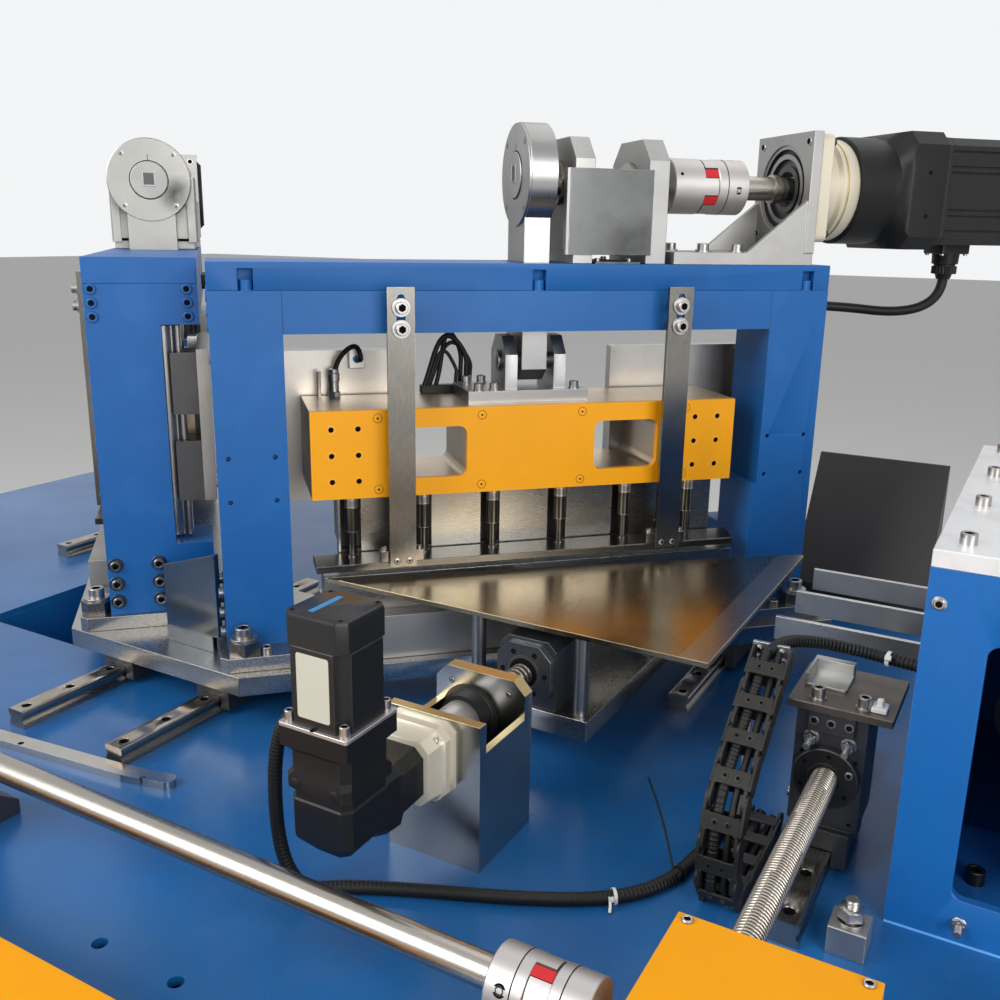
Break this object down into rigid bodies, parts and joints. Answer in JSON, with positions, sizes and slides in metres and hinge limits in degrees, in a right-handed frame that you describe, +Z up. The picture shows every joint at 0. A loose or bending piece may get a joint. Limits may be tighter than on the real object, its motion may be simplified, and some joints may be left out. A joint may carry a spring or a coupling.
{
  "type": "cut-to-length line shear section",
  "caption": "Shear section of a cut-to-length line: twin crank shears in a V on a crosswise sliding base, with ballscrew drives, table plate, guide station and energy chain.",
  "frame": {"origin": "on the floor under the middle of the bed", "axes": "+X along the strip, +Y across the line away from the operator's side, +Z up"},
  "size_m": [2.8, 1.95, 1.695],
  "materials": {
    "blue_paint": "satin",
    "yellow_paint": "satin",
    "ground_steel": "satin",
    "dark_steel": "satin",
    "bright_steel": "satin",
    "zinc_yellow": "satin",
    "cream_cast": "satin",
    "black_cast": "satin",
    "chain_plastic": "matte",
    "cable_black": "matte",
    "grey_paint": "matte"
  },
  "bodies": {
    "bed": {"bed_frame": "blue_paint", "deck_plate": "blue_paint", "levelling_feet": "dark_steel", "cross_rails": "ground_steel", "cross_bracket": "zinc_yellow", "gearbox_flange": "cream_cast", "cross_gearbox": "black_cast", "cross_motor": "black_cast", "datum_bar": "bright_steel", "shaft_bearings": "dark_steel", "deck_covers": "yellow_paint", "guide_gearbox": "dark_steel", "station_housing": "blue_paint", "housing_top": "ground_steel", "guide_rail": "dark_steel", "energy_chain": "chain_plastic", "station_arms": "bright_steel", "chute": "grey_paint", "bed_cable": "cable_black", "stop_block": "bright_steel"},
    "shear_base": {"base_plate": "ground_steel", "base_carriages": "dark_steel", "cross_nut_housing": "zinc_yellow", "cross_nut": "dark_steel", "table_plate": "dark_steel", "table_posts": "bright_steel", "lower_beams": "ground_steel", "lower_blades": "bright_steel", "portal_feet": "bright_steel", "foot_clamps": "dark_steel", "portal_frames": "blue_paint", "top_plates": "blue_paint", "portal_screws": "dark_steel", "gusset_plate": "bright_steel", "ram_rails": "ground_steel", "hanger_screws": "bright_steel", "pillow_blocks": "ground_steel", "crank_covers": "dark_steel", "drive_brackets": "ground_steel", "gearboxes": "cream_cast", "servo_motors": "black_cast"},
    "cross_screw": {"cross_screw": "ground_steel"},
    "line_shaft": {"line_shaft": "bright_steel", "shaft_coupling": "bright_steel"},
    "guide_screw": {"guide_screw": "bright_steel"},
    "guide_carriage": {"guide_carriage": "dark_steel", "guide_nut": "dark_steel", "guide_bracket": "ground_steel"},
    "crank_right": {"crank_right": "bright_steel"},
    "conrod_right": {"conrod_right": "bright_steel"},
    "ram_right": {"ram_right": "ground_steel", "ram_face_right": "yellow_paint", "blade_right": "bright_steel"},
    "hold_down_right": {"hold_down_right": "bright_steel"},
    "crank_left": {"crank_left": "bright_steel"},
    "conrod_left": {"conrod_left": "bright_steel"},
    "ram_left": {"ram_left": "ground_steel", "ram_face_left": "yellow_paint", "blade_left": "bright_steel"},
    "hold_down_left": {"hold_down_left": "bright_steel"}
  },
  "joints": [
    {"name": "base_slide", "type": "slide", "parent": "bed", "child": "shear_base", "axis": [0, 1, 0], "range_m": [-0.08, 0.08]},
    {"name": "cross_screw_turn", "type": "hinge", "parent": "bed", "child": "cross_screw", "pos_m": [0.617, -0.015, 0.905], "axis": [0, 1, 0], "range_deg": [-2881, 2881]},
    {"name": "guide_slide", "type": "slide", "parent": "bed", "child": "guide_carriage", "axis": [0, 1, 0], "range_m": [-0.1, 0.1]},
    {"name": "guide_screw_turn", "type": "hinge", "parent": "bed", "child": "guide_screw", "pos_m": [1.052, -0.115, 0.885], "axis": [0, 1, 0], "range_deg": [-7201, 7201]},
    {"name": "line_shaft_turn", "type": "hinge", "parent": "bed", "child": "line_shaft", "pos_m": [0, -0.645, 0.885], "axis": [1, 0, 0], "range_deg": [-7201, 7201]},
    {"name": "crank_right_turn", "type": "hinge", "parent": "shear_base", "child": "crank_right", "pos_m": [0.56745, 0.34185, 1.597], "axis": [0.7071, 0.7071, 0], "range_deg": [0, 180]},
    {"name": "conrod_right_turn", "type": "hinge", "parent": "crank_right", "child": "conrod_right", "pos_m": [0.43664, 0.21103, 1.607], "axis": [0.7071, 0.7071, 0], "range_deg": [-180.1, 0]},
    {"name": "ram_right_slide", "type": "slide", "parent": "shear_base", "child": "ram_right", "axis": [0, 0, 1], "range_m": [-0.02001, 0]},
    {"name": "hold_down_right_slide", "type": "slide", "parent": "shear_base", "child": "hold_down_right", "axis": [0, 0, 1], "range_m": [-0.0115, 0]},
    {"name": "crank_left_turn", "type": "hinge", "parent": "shear_base", "child": "crank_left", "pos_m": [-0.56745, 0.34185, 1.597], "axis": [-0.7071, 0.7071, 0], "range_deg": [0, 180]},
    {"name": "conrod_left_turn", "type": "hinge", "parent": "crank_left", "child": "conrod_left", "pos_m": [-0.43664, 0.21103, 1.607], "axis": [-0.7071, 0.7071, 0], "range_deg": [-180.1, 0]},
    {"name": "ram_left_slide", "type": "slide", "parent": "shear_base", "child": "ram_left", "axis": [0, 0, 1], "range_m": [-0.02001, 0]},
    {"name": "hold_down_left_slide", "type": "slide", "parent": "shear_base", "child": "hold_down_left", "axis": [0, 0, 1], "range_m": [-0.0115, 0]}
  ],
  "couplings": [
    {"joint": "cross_screw_turn", "follows": "base_slide", "rad_per_m": 628.32},
    {"joint": "guide_screw_turn", "follows": "guide_slide", "rad_per_m": 1256.6},
    {"joint": "line_shaft_turn", "follows": "guide_slide", "rad_per_m": 1256.6},
    {"joint": "conrod_right_turn", "follows": "crank_right_turn", "ratio": -1},
    {"joint": "ram_right_slide", "follows": "crank_right_turn", "m_per_rad": -0.0063662},
    {"joint": "conrod_left_turn", "follows": "crank_left_turn", "ratio": -1},
    {"joint": "ram_left_slide", "follows": "crank_left_turn", "m_per_rad": -0.0063662}
  ]
}
